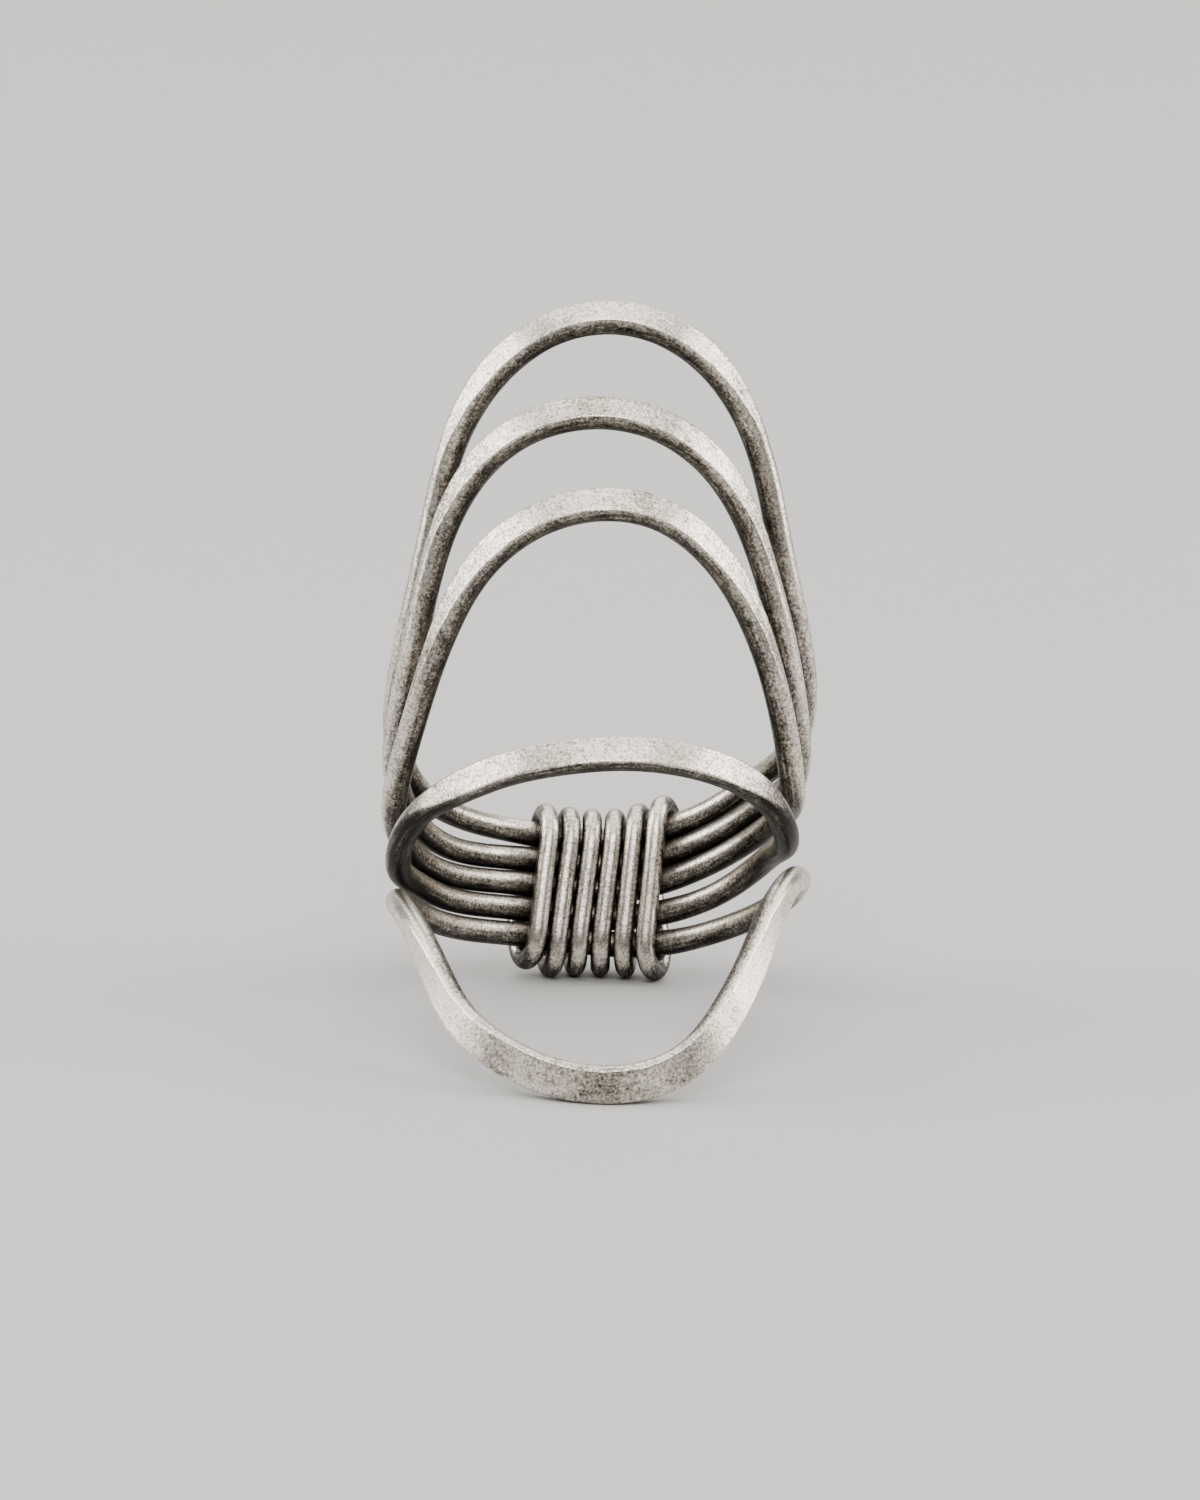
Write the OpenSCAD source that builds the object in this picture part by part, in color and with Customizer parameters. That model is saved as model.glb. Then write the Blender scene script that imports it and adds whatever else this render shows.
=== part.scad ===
// Wire wrapped ring. Five wire loops go round the finger. Behind the finger they lie side by side as
// a band, which a thinner wire binds with six turns. In front they fan out: three rise as arches along
// the finger, one crosses it nearly level and one drops below the band. The front stretches are
// hammered flat. The ring stands on the drop and on the binding's lower edge, so the finger's axis
// leans back. The origin is on the surface that it stands on, under the middle of its box.

/* [Finger] */
// Inside diameter of the band
finger_d = 18.25; // [17.5:0.25:19.5]

/* [Wire] */
// Diameter of the round wire of the five loops
wire_d = 1.25; // [1.1:0.05:1.25]
// Diameter of the thinner wire of the binding
binding_d = 1; // [0.8:0.05:1]

/* [Hammered fronts] */
// Width of the tall arch across its hammered top
tall_width = 1.6; // [1.3:0.05:1.7]
// Thickness of the tall arch at its hammered top
tall_thick = 0.95; // [0.7:0.05:1.1]
// Width of the middle, short and cross arches across their hammered tops
arch_width = 1.5; // [1.3:0.05:1.6]
// Thickness of these three arches at their hammered tops
arch_thick = 0.95; // [0.7:0.05:1.1]
// Width of the drop across its hammered bottom
drop_width = 1.72; // [1.4:0.04:1.8]
// Thickness of the drop at its hammered bottom
drop_thick = 0.8; // [0.7:0.05:1]

/* [Resting pose] */
// Angle by which the finger's axis leans back from upright
lean = 24.3; // [23:0.1:26]
// Angle by which it then leans to the left
roll = 1.7; // [0:0.1:3]

/* [Hidden] */

silver = [0.78, 0.76, 0.72];
dark_silver = [0.66, 0.63, 0.59];

// Radius of the band's centreline, and the room between the strands and the binding
band_r = finger_d / 2 + wire_d / 2;
binding_gap = 0.08;
binding_r = wire_d / 2 + binding_gap + binding_d / 2;

// Fineness of the swept wires
loop_sides = 12;
binding_sides = 10;
loop_step = 1;
binding_step = 0.6;

// Exponent of the section's outline: an ellipse where the wire is round, and nearly a rectangle
// with rounded corners where it is hammered
round_corner = 2;
flat_corner = 8;

// Columns of the loops' tables. The turn is in degrees round the finger, with 0 in front, 90 at the
// right and 180 at the back. Proud is how far the wire's centre stands outside band_r, and rise how
// far it is above the middle of the band. Each table starts under the binding and goes round by the
// left side, the front and the right side.
TURN = 0;
PROUD = 1;
RISE = 2;

TALL = [
    [-180, 0, 2.65], [-160, 0, 3], [-143, 0, 3.2], [-126, 0, 3.55], [-110, 0.15, 4.3],
    [-93, 0.35, 5.85], [-81, 0.25, 8.1], [-71, 0.05, 10.7], [-63, -0.1, 13.2], [-56, -0.1, 15.8],
    [-48, -0.05, 18.6], [-38, 0, 20.9], [-25, 0, 22.8], [-9, 0, 24], [9, 0, 24.2], [26, 0, 23.3],
    [39, 0, 21.7], [49, 0, 19.7], [57.5, 0, 17.1], [64, 0, 14.5], [72.5, 0.1, 12], [82, 0.25, 9.9],
    [93, 0.4, 7.6], [108, 0.3, 6], [124, 0.1, 5.3], [141, 0, 4.15], [160, 0, 3.25]];

MIDDLE = [
    [-180, 0, 1.35], [-160, 0, 1.67], [-143, 0, 1.6], [-126, 0, 1.7], [-109, 0.2, 2.6],
    [-92, 0.35, 4.2], [-78, 0.25, 6.4], [-66, 0.15, 9.2], [-57, 0.15, 12.2], [-49, 0.1, 14.9],
    [-38, 0, 17.2], [-24, 0, 18.7], [-8, 0, 19.4], [9, 0, 19.35], [25, 0, 18.4], [38, 0, 16.8],
    [48, 0, 14.7], [57, 0, 12.1], [66, 0.05, 9.5], [77, 0.05, 6.5], [91, 0, 4.5], [108, 0, 4],
    [125, 0, 3.6], [142, 0, 2.7], [160, 0, 1.9]];

SHORT = [
    [-180, 0, 0], [-160, 0, 0.35], [-143, 0, 0.3], [-126, 0, 0.3], [-109, 0.2, 0.85],
    [-91, 0.35, 1.9], [-75, 0.3, 3.5], [-62, 0.2, 6.1], [-52, 0.1, 8.9], [-42, 0, 11.4],
    [-30, 0, 13.2], [-15, 0, 14.45], [1, 0, 14.95], [17, 0, 14.6], [31, 0, 13.3], [43, 0, 11.4],
    [54, 0, 8.8], [65, -0.05, 5.9], [78, -0.25, 3.5], [94, -0.3, 2.75], [110, -0.2, 2.6],
    [126, 0, 2.2], [143, 0, 1.3], [161, 0, 0.5]];

CROSS = [
    [-180, 0, -1.34], [-160, 0, -0.98], [-143, 0, -1], [-126, 0, -1], [-110, 0.1, -0.6],
    [-93, 0.1, -0.6], [-78, 0.1, 0.15], [-62, 0.1, 1.1], [-45, 0, 1.75], [-27, 0, 2.4],
    [-9, 0, 2.75], [9, 0, 2.95], [27, 0, 2.75], [43, 0, 2.3], [58, -0.1, 1.5], [73, -0.45, 0.8],
    [92, -0.65, 0.6], [109, -0.6, 0.8], [125, -0.15, 0.5], [142, 0, -0.45], [160, 0, -1.1]];

DROP = [
    [-180, 0, -2.66], [-160, 0, -2.33], [-143, 0, -2.35], [-126, 0, -2.35], [-110, 0.15, -2.05],
    [-93, 0.1, -2.1], [-77, 0.05, -2.9], [-63, 0, -4.4], [-52, 0, -6.6], [-41.5, 0, -9.1],
    [-26, 0, -11], [-9, 0, -12.2], [9, 0, -12.3], [25.5, 0, -11.1], [38, 0, -8.6], [48, 0, -6],
    [57, 0, -3.5], [71, 0, -1.75], [92, -0.05, -1.25], [110, 0, -1.5], [126, 0, -1.9],
    [143, 0, -2.35], [161, 0, -2.75]];

// Columns of the hammering tables: the wire is flat as far as FLAT from the front and round from
// ROUND on, in degrees of turn. TILT turns the flat face up from the outward direction in front, and
// at square_turn the face is square to the finger again.
FLAT = 0;
ROUND = 1;
WIDTH = 2;
THICK = 3;
TILT = 4;

TALL_BLOWS = [22, 54, tall_width, tall_thick, 31];
MIDDLE_BLOWS = [24, 58, arch_width, arch_thick, 25];
SHORT_BLOWS = [26, 60, arch_width, arch_thick, 20];
CROSS_BLOWS = [34, 64, arch_width, arch_thick, 17];
DROP_BLOWS = [30, 74, drop_width, drop_thick, -27];
square_turn = 50;

// Columns of the binding's table, a row for each turn of wire. Foot and head are where the inner run
// starts and ends, in degrees from the back's middle towards the right. Low and high are the rise of
// the wire's centre where it passes under and over the strands.
FOOT = 0;
HEAD = 1;
LOW = 2;
HIGH = 3;

WRAPS = [
    [-22, -17.5, -3.65, 4.15],
    [-14.7, -10, -3.97, 4.05],
    [-7.2, -2.7, -3.87, 3.95],
    [0.3, 4.6, -3.87, 3.95],
    [7.9, 12.1, -3.95, 4.2],
    [15.5, 20, -4.17, 4.55]];

// How far the wire leans sideways as it passes over or under the strands, and the angle and rise of
// its two ends, which are pressed against the outside of the strands
wrap_skew = 0.5;
last_skew = 1.6;
START_TAIL = [[-23.4, -0.6], [-23.2, -1.5]];
END_TAIL = [[21.5, 2.2], [22.3, 1.2]];
wrap_lobe = [0, 45, 90, 135, 180];
front_run = [0.25, 0.5, 0.75];
last = len(WRAPS) - 1;

// Unit vector, and the point at a turn, a radius and a rise
function unit(v) = v / norm(v);
function round_finger(turn, radius, rise) = [radius * sin(turn), -radius * cos(turn), rise];
function mix(a, b, t) = a + (b - a) * t;

// Smooth step from 0 to 1
function ease(t) = let (x = min(max(t, 0), 1)) x * x * (3 - 2 * x);

// A cubic B-spline passes inside its control points, so each is pushed out by a sixth of the bend
// there, and the curve then passes through the stations
function pushed(before, here, after) = here + (2 * here - before - after) / 6;

function spline_point(p, t) =
    (pow(1 - t, 3) * p[0] + (3 * pow(t, 3) - 6 * t * t + 4) * p[1]
     + (-3 * pow(t, 3) + 3 * t * t + 3 * t + 1) * p[2] + pow(t, 3) * p[3]) / 6;

function span_points(p, step) =
    let (count = max(1, round(norm(p[2] - p[1]) / step)))
    [for (k = [0 : count - 1]) spline_point(p, k / count)];

function closed_curve(stations) =
    let (n = len(stations),
         control = [for (i = [0 : n - 1])
             pushed(stations[(i + n - 1) % n], stations[i], stations[(i + 1) % n])])
    [for (i = [0 : n - 1])
        each span_points([for (k = [0 : 3]) control[(i + k + n - 1) % n]], loop_step)];

function open_curve(stations) =
    let (n = len(stations),
         inner = [for (i = [1 : n - 2]) pushed(stations[i - 1], stations[i], stations[i + 1])],
         first = stations[0],
         end = stations[n - 1],
         control = [2 * first - inner[0], first, each inner, end, 2 * end - inner[n - 3]])
    [for (i = [0 : n - 2])
        each span_points([for (k = [0 : 3]) control[i + k]], binding_step), end];

// Outline of a section: half sizes along its two axes, and the exponent of its corners
function corner(c, exponent) = sign(c) * pow(abs(c), 2 / exponent);
function section(centre, across, half_across, out, half_out, exponent, sides) =
    [for (k = [0 : sides - 1])
        let (a = 360 * (k + 0.5) / sides)
        centre + across * half_across * corner(cos(a), exponent)
               + out * half_out * corner(sin(a), exponent)];

// Faces between rings of points, closed on themselves or with an end cap at each end
function wall_faces(rings, sides, closed) =
    [for (i = [0 : (closed ? rings - 1 : rings - 2)], k = [0 : sides - 1])
        let (j = (i + 1) % rings, m = (k + 1) % sides,
             a = i * sides + k, b = i * sides + m, c = j * sides + m, d = j * sides + k)
        each [[a, c, b], [a, d, c]]];

function end_faces(rings, sides) =
    [[for (k = [0 : sides - 1]) k], [for (k = [sides - 1 : -1 : 0]) (rings - 1) * sides + k]];

// The rings of points of one loop of wire, round at the back and flat in front
function loop_rings(rows, blows) =
    let (curve = closed_curve([for (row = rows)
             round_finger(row[TURN], band_r + row[PROUD], row[RISE])]),
         n = len(curve))
    [for (i = [0 : n - 1])
        let (here = curve[i],
             along = unit(curve[(i + 1) % n] - curve[(i + n - 1) % n]),
             outward = unit([here.x, here.y, 0]),
             out = unit(outward - (outward * along) * along),
             side = cross(out, along),
             turn = abs(atan2(here.x, -here.y)),
             flat = 1 - ease((turn - blows[FLAT]) / (blows[ROUND] - blows[FLAT])),
             tilt = blows[TILT] * (1 - ease(turn / square_turn)),
             face = cos(tilt) * out + sin(tilt) * side,
             edge = cos(tilt) * side - sin(tilt) * out)
        section(here, edge, mix(wire_d, blows[WIDTH], flat) / 2,
                face, mix(wire_d, blows[THICK], flat) / 2,
                mix(round_corner, flat_corner, flat), loop_sides)];

// Where the binding wire is: degrees from the back's middle, distance outside band_r, and rise
function on_binding(angle, out, rise) = round_finger(180 - angle, band_r + out, rise);

// The angle at which the wire of each turn comes down behind, before it passes under
function heel(i) =
    i == 0 ? WRAPS[0][FOOT] - 2 * wrap_skew
    : i == last ? WRAPS[last][FOOT] + last_skew
    : WRAPS[i][FOOT] - wrap_skew;

function binding_stations() = [
    for (tail = START_TAIL) on_binding(tail[0], binding_r, tail[1]),
    for (i = [0 : last])
        let (wrap = WRAPS[i],
             low = wrap[LOW] + binding_r,
             high = wrap[HIGH] - binding_r,
             over = wrap[HEAD] + wrap_skew)
        each [
            for (a = wrap_lobe)
                on_binding(mix(heel(i), wrap[FOOT], a / 180), binding_r * cos(a),
                           low - binding_r * sin(a)),
            for (t = front_run)
                on_binding(mix(wrap[FOOT], wrap[HEAD], t), -binding_r, mix(low, high, t)),
            for (a = wrap_lobe)
                on_binding(mix(wrap[HEAD], over, a / 180), -binding_r * cos(a),
                           high + binding_r * sin(a)),
            if (i < last)
                for (t = front_run)
                    on_binding(mix(over, heel(i + 1), t), binding_r,
                               mix(high, WRAPS[i + 1][LOW] + binding_r, t))],
    for (tail = END_TAIL) on_binding(tail[0], binding_r, tail[1])];

function binding_rings() =
    let (curve = open_curve(binding_stations()), n = len(curve))
    [for (i = [0 : n - 1])
        let (along = unit(curve[min(i + 1, n - 1)] - curve[max(i - 1, 0)]),
             out = unit(cross(along, [1, 0, 0])),
             side = cross(out, along))
        section(curve[i], side, binding_d / 2, out, binding_d / 2, round_corner, binding_sides)];

function flat_list(rings) = [for (ring = rings) each ring];

// Where a point comes to when the ring leans back and then to the left
function leaned(p) =
    let (back = [p.x, p.y * cos(lean) + p.z * sin(lean), p.z * cos(lean) - p.y * sin(lean)])
    [back.x * cos(roll) - back.z * sin(roll), back.y, back.z * cos(roll) + back.x * sin(roll)];

// The box of the leaning ring
LOOPS = [[TALL, TALL_BLOWS], [MIDDLE, MIDDLE_BLOWS], [SHORT, SHORT_BLOWS],
         [CROSS, CROSS_BLOWS], [DROP, DROP_BLOWS]];
all_points = [
    for (loop = LOOPS) for (p = flat_list(loop_rings(loop[0], loop[1]))) leaned(p),
    for (p = flat_list(binding_rings())) leaned(p)];
box_low = [for (axis = [0 : 2]) min([for (p = all_points) p[axis]])];
box_high = [for (axis = [0 : 2]) max([for (p = all_points) p[axis]])];
box_middle = (box_low + box_high) / 2;

module stood() {
    translate([-box_middle.x, -box_middle.y, -box_low.z]) rotate([-lean, -roll, 0]) children();
}

module wire_loop(rows, blows) {
    rings = loop_rings(rows, blows);
    stood() polyhedron(flat_list(rings), wall_faces(len(rings), loop_sides, true));
}

module tall_arch() {
    color(silver) wire_loop(TALL, TALL_BLOWS);
}

module middle_arch() {
    color(silver) wire_loop(MIDDLE, MIDDLE_BLOWS);
}

module short_arch() {
    color(silver) wire_loop(SHORT, SHORT_BLOWS);
}

module cross_arch() {
    color(silver) wire_loop(CROSS, CROSS_BLOWS);
}

module drop_arch() {
    color(silver) wire_loop(DROP, DROP_BLOWS);
}

module binding_coil() {
    rings = binding_rings();
    color(dark_silver)
        stood()
            polyhedron(flat_list(rings),
                       concat(wall_faces(len(rings), binding_sides, false),
                              end_faces(len(rings), binding_sides)));
}

tall_arch();
middle_arch();
short_arch();
cross_arch();
drop_arch();
binding_coil();
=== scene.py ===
"""A wire wrapped ring of oxidised silver.

Five loops of wire lie side by side behind the finger, where a thinner wire binds them, and fan out in
front as hammered arches. Each wire is drawn along its path with the edit tools, smoothed, and then
hammered blow by blow, as the real one was. Its patina follows the surface: dark where wires meet and
on the sheltered sides, bright where the ring is worn. Painted light and shade lie in the same depth:
sides that face up are painted lighter and undersides darker, as under a light from above, the arches'
legs carry a painted highlight where they face the front, and some smudges are painted shade or a
painted highlight.
"""

from __future__ import annotations

import logging
import math
from dataclasses import dataclass, field
from enum import Enum

import bmesh
import bpy
import numpy as np
from mathutils import Matrix, Vector
from mathutils.kdtree import KDTree


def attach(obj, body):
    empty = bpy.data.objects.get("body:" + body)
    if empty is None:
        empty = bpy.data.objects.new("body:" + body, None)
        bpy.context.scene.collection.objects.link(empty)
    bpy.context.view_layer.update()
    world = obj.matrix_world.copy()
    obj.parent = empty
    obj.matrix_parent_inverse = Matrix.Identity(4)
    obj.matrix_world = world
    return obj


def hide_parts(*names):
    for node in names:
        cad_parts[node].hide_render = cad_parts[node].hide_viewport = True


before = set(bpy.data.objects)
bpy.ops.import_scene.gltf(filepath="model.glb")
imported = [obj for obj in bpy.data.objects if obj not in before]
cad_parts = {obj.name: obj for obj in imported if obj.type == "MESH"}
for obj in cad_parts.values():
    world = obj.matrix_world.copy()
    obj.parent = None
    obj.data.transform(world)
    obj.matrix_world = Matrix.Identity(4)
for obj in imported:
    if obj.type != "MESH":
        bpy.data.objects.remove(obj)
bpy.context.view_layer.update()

MM = 0.001
LOG = logging.getLogger("ring")

# Sizes of the ring, in millimetres
FINGER_D = 18.25
WIRE_R = 1.25 / 2
BINDING_R = 1.0 / 2
BINDING_GAP = 0.08
BAND_R = FINGER_D / 2 + WIRE_R
BINDING_REACH = WIRE_R + BINDING_GAP + BINDING_R
# How far the strands bulge under the binding, where it presses them against each other, and the
# degrees from the front where that begins and where it is in full
PRESSED = 0.035
PRESSED_TURN = (148, 158)
# How far a section is swollen across its width and thickness before it is hammered back
SWELL = np.array([0.04, 0.85])
# Width of the binding's first two sections, as shares of its full width
BLUNT_END = np.array([0.55, 0.88])

Rows = tuple[tuple[float, float, float], ...]
Span = tuple[float, float]
Colour = tuple[float, float, float]
Given = bpy.types.NodeSocket | float | tuple[float, ...]


def ease(values: np.ndarray, start: float, full: float) -> np.ndarray:
    """Smooth step of values, from 0 where they are at the start to 1 where they are full."""
    x = np.clip((values - start) / (full - start), 0, 1)
    return x * x * (3 - 2 * x)


def unit(v: np.ndarray) -> np.ndarray:
    """Vectors of length 1, row by row."""
    return v / np.linalg.norm(v, axis=-1, keepdims=True)


def feed(node: bpy.types.Node, inputs: dict[str | int, Given]) -> bpy.types.Node:
    """Sets inputs of a node.

    Args:
        node: The node.
        inputs: For each input, its value or the output that it is linked to.

    Returns:
        The node.
    """
    for name, given in inputs.items():
        if isinstance(given, bpy.types.NodeSocket):
            node.id_data.links.new(given, node.inputs[name])
        else:
            node.inputs[name].default_value = given
    return node


def points_of(piece: bpy.types.Object) -> np.ndarray:
    """Where a piece's vertices are.

    Args:
        piece: The piece.

    Returns:
        The vertices in millimetres, a row each.
    """
    found = np.empty(len(piece.data.vertices) * 3)
    piece.data.vertices.foreach_get("co", found)
    return found.reshape(-1, 3) / MM


def spline(stations: np.ndarray, closed: bool, step: float) -> np.ndarray:
    """Smooth curve that passes close to its stations.

    Args:
        stations: The stations, a row each.
        closed: Whether the curve comes back to its first station.
        step: Distance between two points of the curve.

    Returns:
        The points of the curve, a row each.
    """
    before, after = np.roll(stations, 1, axis=0), np.roll(stations, -1, axis=0)
    control = stations + (2 * stations - before - after) / 6
    count = len(stations)
    if closed:
        spans = [control[[(i - 1) % count, i, (i + 1) % count, (i + 2) % count]] for i in range(count)]
    else:
        first, last = stations[0], stations[-1]
        inner = control[1:-1]
        control = np.vstack([2 * first - inner[0], first, inner, last, 2 * last - inner[-1]])
        spans = [control[i:i + 4] for i in range(count - 1)]
    points = []
    for p in spans:
        parts = max(1, round(np.linalg.norm(p[2] - p[1]) / step))
        for t in np.arange(parts) / parts:
            weights = np.array([(1 - t) ** 3, 3 * t**3 - 6 * t**2 + 4,
                                -3 * t**3 + 3 * t**2 + 3 * t + 1, t**3])
            points.append(weights @ p / 6)
    if not closed:
        points.append(stations[-1])
    return np.array(points)


@dataclass(frozen=True)
class Move:
    """The way from the finger's frame to the part's: a turn about the origin and then a shift.

    Attributes:
        turn: 3 by 3 rotation.
        shift: Shift in millimetres.
    """

    turn: np.ndarray
    shift: np.ndarray

    def place(self, points: np.ndarray) -> np.ndarray:
        """Points of the finger's frame, put in the part's."""
        return points @ self.turn.T + self.shift

    def aim(self, ways: np.ndarray) -> np.ndarray:
        """Directions of the finger's frame, put in the part's."""
        return ways @ self.turn.T

    def place_back(self, points: np.ndarray) -> np.ndarray:
        """Points of the part's frame, put in the finger's."""
        return (points - self.shift) @ self.turn

    def aim_back(self, ways: np.ndarray) -> np.ndarray:
        """Directions of the part's frame, put in the finger's."""
        return ways @ self.turn


@dataclass
class Drawing:
    """The path of one wire and its section at each point, in millimetres.

    Attributes:
        centres: Points of the wire's centreline.
        across: Direction of the section's width at each point.
        face: Direction of the section's face at each point.
        along: Direction of the wire at each point.
        half: Half width and half thickness of the finished section.
        start: Half width and half thickness of the section before it is hammered.
        flat: How flat the section is hammered, from 0 to 1.
        closed: Whether the wire comes back to its start.
    """

    centres: np.ndarray
    across: np.ndarray
    face: np.ndarray
    along: np.ndarray
    half: np.ndarray
    start: np.ndarray
    flat: np.ndarray
    closed: bool

    def lengths(self) -> np.ndarray:
        """Distance along the wire from its first point."""
        steps = np.linalg.norm(np.diff(self.centres, axis=0), axis=1)
        return np.concatenate([[0], np.cumsum(steps)])

    def moved(self, move: Move) -> Drawing:
        """The same wire, moved from the finger's frame to the part's."""
        return Drawing(move.place(self.centres), move.aim(self.across), move.aim(self.face),
                       move.aim(self.along), self.half, self.start, self.flat, self.closed)

    def stations_of(self, points: np.ndarray) -> np.ndarray:
        """Number of the centreline's point that is nearest to each point.

        Args:
            points: Points in millimetres, a row each.

        Returns:
            The numbers.
        """
        tree = KDTree(len(self.centres))
        for i, centre in enumerate(self.centres):
            tree.insert(centre, i)
        tree.balance()
        return np.array([tree.find(point)[1] for point in points])

    def outline(self) -> np.ndarray:
        """Points on the wire's surface, every 15 degrees round it, which is enough for its box."""
        return np.concatenate([
            self.centres + self.across * self.half[:, :1] * math.cos(a)
            + self.face * self.half[:, 1:] * math.sin(a) for a in np.radians(np.arange(0, 360, 15))])


@dataclass(frozen=True)
class Surface:
    """How each point of a wire's surface lies.

    Attributes:
        face: How much it faces as the hammered face does, from -1 to 1.
        edge: How much it faces as the upper edge does, which is the outer edge of an arch.
        up: How much it faces up along the finger.
        back: How much it faces to the back.
        out: How much it faces away from the finger.
        turn: Its turn round the finger in degrees, 0 in front and below 0 on the left.
        flat: How flat the wire is hammered there, from 0 to 1.
        shelter: How close other wires are, about 1 where they touch.
    """

    face: np.ndarray
    edge: np.ndarray
    up: np.ndarray
    back: np.ndarray
    out: np.ndarray
    turn: np.ndarray
    flat: np.ndarray
    shelter: np.ndarray


@dataclass(frozen=True)
class RubAndLight:
    """How much a stretch of wire is rubbed, or painted lighter as if lit, by the way that its surface
    faces.

    Attributes:
        face: Weight of facing as the hammered face does.
        up: Weight of facing up along the finger: painted light on top and shade below, as from above.
        back: Weight of facing to the back or to the front, which paints a highlight there.
        out: Weight of facing away from the finger or towards it.
        base: What is added everywhere.
    """

    face: float = 0
    up: float = 0
    back: float = 0
    out: float = 0
    base: float = 0

    def on(self, surface: Surface) -> np.ndarray:
        """How much each point of a surface is rubbed or painted lit."""
        return (self.face * surface.face + self.up * surface.up + self.back * np.abs(surface.back)
                + self.out * np.abs(surface.out) + self.base)


@dataclass(frozen=True)
class RubbingAndLight:
    """Where a wire is rubbed or painted lit and shaded: in front, beside the finger and behind it.

    Attributes:
        front: How it is rubbed in front.
        upper: How its upper edge in front is rubbed besides, and painted lit or shaded as from above.
        lower: The same for its lower edge.
        leg: How it is rubbed beside the finger, where that differs from the front.
        leg_turn: Degrees from the front where the leg begins, and where it has taken over.
        behind: How it is rubbed behind the finger, and painted lighter where it faces up.
        behind_turn: The same for what is behind.
    """

    front: RubAndLight = RubAndLight()
    upper: RubAndLight = RubAndLight()
    lower: RubAndLight = RubAndLight()
    leg: RubAndLight | None = None
    leg_turn: Span = (56, 82)
    # By default the strands behind are painted lighter on top and darker below, as lit from above.
    behind: RubAndLight = RubAndLight(up=1.1, out=0.25, base=-0.1)
    behind_turn: Span = (93, 135)


class WearAndShade(Enum):
    """How the ring's wires are rubbed in wearing it, and painted lit and shaded, each kind in its place.
    """

    # Arches: face rubbed bright, upper edge painted light, lower edge painted shade, legs a painted
    # highlight.
    ARCH = RubbingAndLight(RubAndLight(face=0.9), upper=RubAndLight(base=0.6), lower=RubAndLight(base=-0.6),
                   leg=RubAndLight(face=0.6, back=0.4, base=-0.7))
    # Cross arch: edges painted light above and shade below, and its legs painted lighter where they face
    # up.
    CROSS = RubbingAndLight(RubAndLight(face=0.9), upper=RubAndLight(base=0.85), lower=RubAndLight(base=-0.85),
                    leg=RubAndLight(face=0.35, up=1.3, base=-0.5), leg_turn=(34, 64))
    # Drop: face rubbed bright, and its edges painted lighter where they face up, as lit from above.
    DROP = RubbingAndLight(RubAndLight(face=0.8), upper=RubAndLight(up=1.3, base=-0.9), lower=RubAndLight(up=0.6, base=0.3))
    # Binding behind: rubbed bright where it faces out or in, and painted lighter where it faces up.
    WRAP = RubbingAndLight(behind=RubAndLight(up=0.5, out=1.5, base=-0.6))


@dataclass(frozen=True)
class PatinaAndShade:
    """How deep patina and painted shade lie on a wire, by how much each point is rubbed, lit and
    sheltered.

    Attributes:
        black: Depth of the black patina, which is rubbed off first.
        black_worn_or_lit: How much it is rubbed or painted lit when it begins to go, and when it is
            gone.
        brown: Depth of the brown patina under it.
        brown_worn_or_lit: The same for the brown patina.
        sheltered: Depth that is added where other wires touch.
        corner_facing: How much the corners of the hammered face face as it does.
        corner_spread: How far that may differ.
        corner_rub: How much they are rubbed besides.
        corner_bright: How much patina that rub takes off besides where the wire is quite flat.
        inside_rub: How much the side on the finger is rubbed besides.
        inside_facing: How much that side faces the finger where it begins, and where it is in full.
        limits: The least and the greatest depth.
    """

    black: float = 0.25
    black_worn_or_lit: Span = (-1.1, -0.5)
    brown: float = 0.5
    brown_worn_or_lit: Span = (-0.6, 0.35)
    sheltered: float = 0.5
    corner_facing: float = 0.84
    corner_spread: float = 0.12
    corner_rub: float = 0.3
    corner_bright: float = 0.7
    inside_rub: float = 0.7
    inside_facing: Span = (0.6, 0.9)
    limits: Span = (-0.3, 1.2)

    def depth(self, surface: Surface, rubbing_and_light: RubbingAndLight, smudges_and_painted_light: Rows) -> np.ndarray:
        """Depth of the patina on a wire, with painted light and shade in it.

        Args:
            surface: The wire's surface.
            rubbing_and_light: Where it is rubbed, and where light and shade are painted.
            smudges_and_painted_light: Turn, reach and depth of each smudge on its face; some are painted
                shade or highlight.

        Returns:
            The depth at each point.
        """
        away = np.abs(surface.turn)
        # Upper and lower edges are weighted apart: this paints light on top and shade underneath.
        front = (rubbing_and_light.front.on(surface) + np.maximum(surface.edge, 0) * rubbing_and_light.upper.on(surface)
                 + np.maximum(-surface.edge, 0) * rubbing_and_light.lower.on(surface))
        if rubbing_and_light.leg is not None:
            beside = ease(away, *rubbing_and_light.leg_turn)
            front = front * (1 - beside) + rubbing_and_light.leg.on(surface) * beside
        off_corner = (surface.face - self.corner_facing) / self.corner_spread
        corner = self.corner_rub * np.exp(-off_corner**2)
        inside = self.inside_rub * ease(-surface.face, *self.inside_facing)
        behind = ease(away, *rubbing_and_light.behind_turn)
        # Worn here includes painted light: what faces up, and legs facing front or back, count as lit.
        worn = (front + corner + inside) * (1 - behind) + rubbing_and_light.behind.on(surface) * behind
        depth = (self.brown * (1 - ease(worn, *self.brown_worn_or_lit))
                 + self.black * (1 - ease(worn, *self.black_worn_or_lit))
                 + self.sheltered * surface.shelter - self.corner_bright * corner * surface.flat)
        # Smudges darken or brighten the face; some are painted shade or a painted highlight.
        for middle, reach, dark in smudges_and_painted_light:
            depth += dark * np.exp(-((surface.turn - middle) / reach) ** 2) * ease(surface.face, 0, 1)
        return np.clip(depth, *self.limits)


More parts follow.
